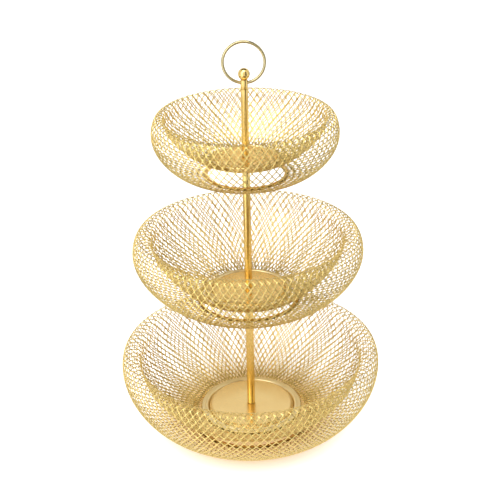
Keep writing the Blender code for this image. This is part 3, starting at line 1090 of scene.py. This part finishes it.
@dataclass(frozen=True)
class Post:
    """The sectioned post with its foot fixing, ring eye and ball finial."""

    tube_feet: tuple[float, float, float] = (0.0168, 0.1744, 0.3338)
    tube_tops: tuple[float, float, float] = (0.1728, 0.3322, 0.4088)
    tube_radii: tuple[float, float, float] = (0.0047, 0.0043, 0.0039)
    tube_wall: float = 0.0008
    stud_radius: float = 0.0020
    stud_reach: float = 0.0090
    bottom_plate: float = 0.0155
    plate_thickness: float = 0.0010
    washer_radius: float = 0.0090
    washer_thickness: float = 0.0010
    head_radius: float = 0.0042
    head_height: float = 0.0026
    socket_radius: float = 0.0016
    socket_depth: float = 0.0014
    socket_sides: int = 6
    eye_length: float = 0.0100
    eye_spigot: float = 0.0080
    eye_hole_radius: float = 0.0023
    eye_hole_depth: float = 0.0036
    eye_hole_sides: int = 48
    finial_stud_radius: float = 0.0015
    finial_stud_length: float = 0.0048
    ball_radius: float = 0.0063
    ball_seat: float = 0.0027
    softness: float = 0.00035
    steps: int = 72
    ball_steps: int = 40

    def build_tube(self, name: str, number: int) -> Piece:
        """Turn one section of the post.

        Args:
            name: the section's name.
            number: which section, counted from the foot.

        Returns:
            The tube.
        """
        foot = self.tube_feet[number]
        top = self.tube_tops[number]
        outer = self.tube_radii[number]
        inner = outer - self.tube_wall
        soft = self.softness
        corners = [
            (inner, top, soft / 2.0),
            (outer, top, soft),
            (outer, foot, soft),
            (inner, foot, soft / 2.0),
        ]
        return turn_section(name, rounded(corners), self.steps)

    def build_washer(self) -> Piece:
        """Turn the washer under the bottom floor plate.

        Returns:
            The washer.
        """
        top = self.bottom_plate - SEAT_GAP
        foot = top - self.washer_thickness
        inner = self.stud_radius + SEAT_GAP
        outer = self.washer_radius
        soft = self.softness
        corners = [(inner, top, 0.0), (outer, top, soft / 2.0), (outer, foot, soft), (inner, foot, soft)]
        return turn_section("foot_fixing_washer", rounded(corners), self.steps)

    def build_screw(self) -> Piece:
        """Turn the foot screw and sink its hexagon socket.

        Returns:
            The screw.
        """
        head_top = self.bottom_plate - 2.0 * SEAT_GAP - self.washer_thickness
        foot = head_top - self.head_height
        tip = self.bottom_plate + self.plate_thickness + SEAT_GAP + self.stud_reach
        soft = self.softness
        corners = [
            (0.0, tip, 0.0),
            (self.stud_radius, tip, soft),
            (self.stud_radius, head_top, 0.0),
            (self.head_radius, head_top, soft / 2.0),
            (self.head_radius, foot, soft * 1.5),
            (0.0, foot, 0.0),
        ]
        screw = turn("foot_fixing_screw", rounded(corners), self.steps, closed=False)
        self.bore(screw, self.socket_sides, self.socket_radius, 2.0 * self.socket_depth, foot)
        return screw

    def bore(
        self, piece: Piece, sides: int, radius: float, length: float, height: float, lean: float = 0.0
    ) -> None:
        """Bore a piece on the post's axis, and shade it smooth.

        Args:
            piece: the piece to bore.
            sides: the hole's sides.
            radius: the hole's radius.
            length: how long the borer is, half of it on each side of its middle.
            height: the height of its middle.
            lean: how far it leans over from upright.
        """
        bpy.ops.object.select_all(action="DESELECT")
        bpy.ops.mesh.primitive_cylinder_add(
            vertices=sides,
            radius=radius,
            depth=length,
            location=(0.0, 0.0, height),
            rotation=(0.0, lean, 0.0),
        )
        cutter = bpy.context.active_object
        modify(piece, "hole", "BOOLEAN", operation="DIFFERENCE", solver="EXACT", object=cutter)
        drop(cutter)
        smooth(piece, BORED_BEND)

    def build_eye(self) -> Piece:
        """Turn the solid end of the post and drill it across for the carrying ring.

        Returns:
            The ring eye.
        """
        radius = self.tube_radii[2]
        body_foot = self.tube_tops[2] + SEAT_GAP
        body_top = body_foot + self.eye_length
        spigot = radius - self.tube_wall - SEAT_GAP
        soft = self.softness
        spigot_foot = body_foot - SEAT_GAP - self.eye_spigot
        stud = self.finial_stud_radius
        stud_top = body_top + self.finial_stud_length
        corners = [
            (0.0, stud_top, 0.0),
            (stud, stud_top, soft / 2.0),
            (stud, body_top, 0.0),
            (radius, body_top, soft),
            (radius, body_foot, soft),
            (spigot, body_foot, 0.0),
            (spigot, spigot_foot, soft),
            (0.0, spigot_foot, 0.0),
        ]
        eye = turn("drilled_ring_eye", rounded(corners), self.steps, closed=False)
        across = 4.0 * radius
        height = body_top - self.eye_hole_depth
        self.bore(eye, self.eye_hole_sides, self.eye_hole_radius, across, height, lean=math.pi / 2.0)
        return eye

    def build_ball(self) -> Piece:
        """Turn the ball finial, bored from beneath for its stud.

        Returns:
            The ball.
        """
        seat = self.tube_tops[2] + 2.0 * SEAT_GAP + self.eye_length
        centre = seat + math.sqrt(self.ball_radius**2 - self.ball_seat**2)
        last = math.pi - math.asin(self.ball_seat / self.ball_radius)
        bore = self.finial_stud_radius + SEAT_GAP
        bore_top = seat + self.finial_stud_length
        points = []
        for i in range(self.ball_steps + 1):
            angle = last * i / self.ball_steps
            height = centre + self.ball_radius * math.cos(angle)
            points.append((self.ball_radius * math.sin(angle), height))
        points += [(bore, seat), (bore, bore_top), (0.0, bore_top)]
        ball = turn("turned_ball_finial", points, self.steps, closed=False)
        smooth(ball, BORED_BEND)
        return ball

    def build(self, setter: Setter) -> None:
        """Build the post's pieces and settle them on the stand.

        Args:
            setter: what dresses the pieces and ties them to the model.
        """
        for number, node in enumerate(("lower_post_tube", "middle_post_tube", "upper_post_tube")):
            setter.settle(self.build_tube("polished_" + node, number), node, POLISHED_POST)
        setter.settle(self.build_eye(), "ring_eye", POLISHED_POST)
        setter.settle(self.build_ball(), "finial_ball", POLISHED_POST)
        setter.settle(self.build_washer(), "foot_washer", PLATED_STEEL)
        setter.settle(self.build_screw(), "foot_screw", PLATED_STEEL)
        hidden = [
            "lower_tube_foot_insert",
            "lower_tube_head_insert",
            "middle_tube_foot_insert",
            "middle_tube_head_insert",
            "upper_tube_foot_insert",
            "middle_floor_stud",
            "top_floor_stud",
        ]
        for node in hidden:
            setter.dress_node(node, PLATED_STEEL)


@dataclass(frozen=True)
class CarryRing:
    """The loose wire ring that hangs in the post's eye."""

    pivot_height: float = 0.4155
    radius: float = 0.0219
    wire_radius: float = 0.0016
    wire_sides: int = 24
    steps: int = 128

    def build(self, setter: Setter) -> None:
        """Sweep the wire round and settle the ring on its handle.

        Args:
            setter: what dresses the piece and ties it to the model.
        """
        middle = self.pivot_height + self.radius
        bpy.ops.object.select_all(action="DESELECT")
        bpy.ops.mesh.primitive_circle_add(
            vertices=self.wire_sides,
            radius=self.wire_radius,
            location=(self.radius, 0.0, middle),
        )
        ring = bpy.context.active_object
        ring.name = "wire_carry_ring"
        ring.data.name = "wire_carry_ring"
        bpy.ops.object.transform_apply(location=True, rotation=True, scale=True)
        sweep_round(ring, self.steps, (0.0, 0.0, middle), (0.0, 1.0, 0.0))
        smooth(ring)
        setter.settle(ring, "carry_ring", POLISHED_RING)


def facing(place: Place, aim: Place) -> Euler:
    """The rotation with which a lamp or a card faces its aim."""
    return (Vector(place) - Vector(aim)).to_track_quat("Z", "Y").to_euler()


@dataclass(frozen=True)
class Lamp:
    """A soft rectangular lamp, aimed at the basket."""

    name: str
    place: Place
    width: float
    height: float
    power: float

    def build(self) -> None:
        """Hang the lamp."""
        data = bpy.data.lights.new(self.name, "AREA")
        data.shape = "RECTANGLE"
        data.size = self.width
        data.size_y = self.height
        data.energy = self.power
        lamp = bpy.data.objects.new(self.name, data)
        bpy.context.scene.collection.objects.link(lamp)
        lamp.location = self.place
        lamp.rotation_euler = facing(self.place, BASKET_MIDDLE)


@dataclass(frozen=True)
class Flag:
    """A card out of the picture that only the metal mirrors, dark or glowing."""

    name: str
    place: Place
    width: float
    height: float
    aim_height: float = BASKET_MIDDLE[2]
    flat: bool = False
    colour: Colour = DARK_CARD
    glow: float = 0.0

    @property
    def aim(self) -> Place:
        """What the card faces: the post's axis, or straight up or down if it lies flat."""
        if self.flat:
            return (self.place[0], self.place[1], FLAT_AIM_HEIGHT)
        return (0.0, 0.0, self.aim_height)

    def build(self) -> None:
        """Stand the card up, facing its aim."""
        bpy.ops.object.select_all(action="DESELECT")
        bpy.ops.mesh.primitive_plane_add(size=1.0)
        card = bpy.context.active_object
        card.name = self.name
        with editing(card):
            bpy.ops.transform.resize(value=(self.width, self.height, 1.0))
        card.location = self.place
        card.rotation_euler = facing(self.place, self.aim)
        card.visible_camera = False
        card.visible_diffuse = False
        card.visible_shadow = False
        made, nodes, surface = start_material(self.name)
        if self.glow > 0.0:
            paint = nodes.add("ShaderNodeEmission", {"Strength": self.glow})
            made.cycles.emission_sampling = "NONE"
        else:
            paint = nodes.add("ShaderNodeBsdfDiffuse", {"Color": self.colour})
        nodes.join(paint.outputs[0], surface)
        card.data.materials.append(made)


@dataclass(frozen=True)
class Studio:
    """A white floor, a white surround, cards, soft lamps and the camera."""

    camera_place: Place = (0.0, -1.08243, 0.75653)
    camera_right: Place = (0.99974, -0.01007, -0.02034)
    camera_up: Place = (0.02270, 0.44336, 0.89605)
    lens: float = 77.416
    sensor: float = 36.0
    shift: float = 0.0043
    floor_size: float = 9.0
    floor_sides: int = 96
    floor_colour: Colour = (0.86, 0.86, 0.86, 1.0)
    floor_lift: float = 0.86
    mirrored_lift: float = 0.55
    # Painted shadow under the basket: a darker warm floor colour and a dimmer warm glow stand in for its
    # shade and the brass's bounce light.
    painted_shadow_colour: Colour = (0.80, 0.62, 0.38, 1.0)
    painted_shadow_glow: Colour = (0.42, 0.28, 0.12, 1.0)
    painted_shadow_inner: float = 0.070
    painted_shadow_outer: float = 0.140
    surround_glow: float = 0.45

    def build_floor(self) -> None:
        """Lay the pale round floor, with a painted shadow, darker and warm as if lit by the brass, where
        the basket stands on it.
        """
        bpy.ops.object.select_all(action="DESELECT")
        radius = self.floor_size / 2.0
        bpy.ops.mesh.primitive_circle_add(vertices=self.floor_sides, radius=radius, fill_type="NGON")
        floor = bpy.context.active_object
        floor.name = "studio_floor"
        with editing(floor):
            bpy.ops.mesh.inset(thickness=radius / 2.0)
        made, nodes, surface = start_material("white_floor")
        clear = self.clear_of_basket(nodes)
        paint = nodes.add("ShaderNodeBsdfDiffuse")
        glow = nodes.add("ShaderNodeEmission")
        # Painted shadow: under the basket the floor's colour and glow fade to these darker warm tones.
        shades = (
            (paint, self.painted_shadow_colour, self.floor_colour),
            (glow, self.painted_shadow_glow, WHITE),
        )
        for shader, under, around in shades:
            nodes.join(nodes.mixed(under, around, clear), shader.inputs["Color"])
        direct, mirrored = self.ray_kinds(nodes)
        lifts = (
            nodes.math("MULTIPLY", direct, self.floor_lift),
            nodes.math("MULTIPLY", mirrored, self.mirrored_lift),
        )
        nodes.join(nodes.math("MAXIMUM", *lifts), glow.inputs["Strength"])
        both = nodes.add("ShaderNodeAddShader")
        for shader, target in zip((paint, glow), both.inputs):
            nodes.join(shader.outputs[0], target)
        nodes.join(both.outputs[0], surface)
        floor.data.materials.append(made)

    def clear_of_basket(self, nodes: Nodes) -> Socket:
        """Zero on the floor under the basket, where the shadow is painted, rising to one clear of it.

        Args:
            nodes: the tree to build in.

        Returns:
            The socket with that number.
        """
        place = nodes.add("ShaderNodeTexCoord").outputs["Object"]
        length = nodes.add("ShaderNodeVectorMath", {"Vector": place}, operation="LENGTH")
        values = {
            "From Min": self.painted_shadow_inner,
            "From Max": self.painted_shadow_outer,
            "Value": length.outputs["Value"],
        }
        fade = nodes.add("ShaderNodeMapRange", values, interpolation_type="SMOOTHSTEP")
        return fade.outputs["Result"]

    def ray_kinds(self, nodes: Nodes) -> tuple[Socket, Socket]:
        """Tell rays from the camera and from mirrors apart from those that light something.

        Args:
            nodes: the tree to build in.

        Returns:
            A number that is one for rays from the camera, and one for rays from a mirror or glass.
        """
        path = nodes.add("ShaderNodeLightPath").outputs
        mirrored = nodes.math("MAXIMUM", path["Is Glossy Ray"], path["Is Transmission Ray"])
        return path["Is Camera Ray"], mirrored

    def build_surround(self) -> None:
        """Make the white surround: plain white to the eye, dimmer as a light."""
        world = bpy.data.worlds.new("studio_surround")
        bpy.context.scene.world = world
        world.use_nodes = True
        nodes = Nodes(world.node_tree)
        output = nodes.add("ShaderNodeOutputWorld")
        white = nodes.add("ShaderNodeBackground", {"Color": WHITE, "Strength": 1.0})
        glow = nodes.add("ShaderNodeBackground", {"Color": WHITE, "Strength": self.surround_glow})
        mix = nodes.add("ShaderNodeMixShader")
        seen = nodes.math("MAXIMUM", *self.ray_kinds(nodes))
        for source, target in zip((seen, glow.outputs[0], white.outputs[0]), mix.inputs):
            nodes.join(source, target)
        nodes.join(mix.outputs[0], output.inputs["Surface"])

    def build_lamps(self) -> None:
        """Hang the lamps: a tall one at the left front and a wide one overhead."""
        lamps = [
            Lamp("key_lamp", (-0.95, -1.02, 1.10), width=0.65, height=1.6, power=10.0),
            Lamp("top_lamp", (-0.10, -0.45, 1.9), width=1.2, height=0.9, power=12.0),
        ]
        for lamp in lamps:
            lamp.build()

    def build_flags(self) -> None:
        """Stand the cards that shade the metal, and the two that gleam in it."""
        flags = [
            Flag("right_front_flag", (1.03, -1.23, 1.5), width=0.8, height=3.2, aim_height=1.5),
            Flag("right_back_flag", (0.80, 0.80, 0.25), width=0.4, height=0.7),
            Flag(
                "front_table_flag", (0.04, -0.70, 0.01), width=0.48, height=0.86, flat=True, colour=DIM_CARD
            ),
            Flag("streak_flag", (0.155, -0.178, 0.31), width=0.105, height=0.38, aim_height=0.31),
            Flag("streak_card", (-0.13, -0.20, 0.33), width=0.08, height=0.34, aim_height=0.33, glow=2.2),
            Flag("left_side_flag", (-0.62, 0.15, 0.01), width=0.30, height=0.44, flat=True),
            Flag("right_side_flag", (0.62, 0.15, 0.01), width=0.30, height=0.44, flat=True),
            Flag("ceiling_flag", (0.0, 0.85, 2.0), width=2.4, height=1.5, flat=True),
            Flag("left_table_card", (-0.38, -0.42, 0.02), width=0.3, height=0.3, flat=True, glow=3.0),
        ]
        for flag in flags:
            flag.build()

    def build_camera(self) -> None:
        """Set up the camera where the photograph was taken from."""
        data = bpy.data.cameras.new("camera")
        data.lens = self.lens
        data.sensor_width = self.sensor
        data.shift_x = self.shift
        camera = bpy.data.objects.new("camera", data)
        bpy.context.scene.collection.objects.link(camera)
        right = Vector(self.camera_right).normalized()
        up = Vector(self.camera_up)
        up = (up - right * up.dot(right)).normalized()
        back = right.cross(up)
        turned = Matrix((right, up, back)).transposed().to_4x4()
        camera.matrix_world = Matrix.Translation(self.camera_place) @ turned
        bpy.context.scene.camera = camera

    def build(self) -> None:
        """Set up the whole studio."""
        self.build_camera()
        self.build_surround()
        self.build_floor()
        self.build_flags()
        self.build_lamps()
        bpy.context.scene.view_settings.view_transform = "Standard"
        LOG.info("studio: camera, surround, floor, cards and lamps")


BOTTOM_BOWL = Bowl(
    tier="bottom",
    height=0.0,
    base_radius=0.0704,
    widest=(0.1500, 0.0790),
    crest=(0.1430, 0.0965),
    throat=(0.1287, 0.0830),
    lip=(0.0610, 0.0125),
    floor_radius=0.0470,
    floor_height=0.0165,
    belly_share=0.50,
    dish_share=0.40,
    mesh=DiamondMesh(columns=108),
)
MIDDLE_BOWL = Bowl(
    tier="middle",
    height=0.1606,
    base_radius=0.0565,
    widest=(0.1288, 0.0625),
    crest=(0.1179, 0.0838),
    throat=(0.1070, 0.0730),
    lip=(0.0490, 0.0105),
    floor_radius=0.0380,
    floor_height=0.0135,
    belly_share=0.43,
    dish_share=0.30,
    mesh=DiamondMesh(columns=100, spiral=0.35),
)
TOP_BOWL = Bowl(
    tier="top",
    height=0.3120,
    base_radius=0.0436,
    widest=(0.1002, 0.0488),
    crest=(0.0907, 0.0693),
    throat=(0.0856, 0.0600),
    lip=(0.0385, 0.0190),
    floor_radius=0.0300,
    floor_height=0.0215,
    belly_share=0.48,
    dish_share=0.27,
    mesh=DiamondMesh(columns=76, spiral=0.7),
)


def main() -> None:
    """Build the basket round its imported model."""
    logging.basicConfig(level=logging.INFO, format="%(message)s")
    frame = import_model()
    bpy.ops.object.select_all(action="DESELECT")
    Studio().build()
    setter = Setter(frame)
    for bowl in (BOTTOM_BOWL, MIDDLE_BOWL, TOP_BOWL):
        bowl.build(setter)
    Post().build(setter)
    CarryRing().build(setter)


if __name__ == "__main__":
    main()
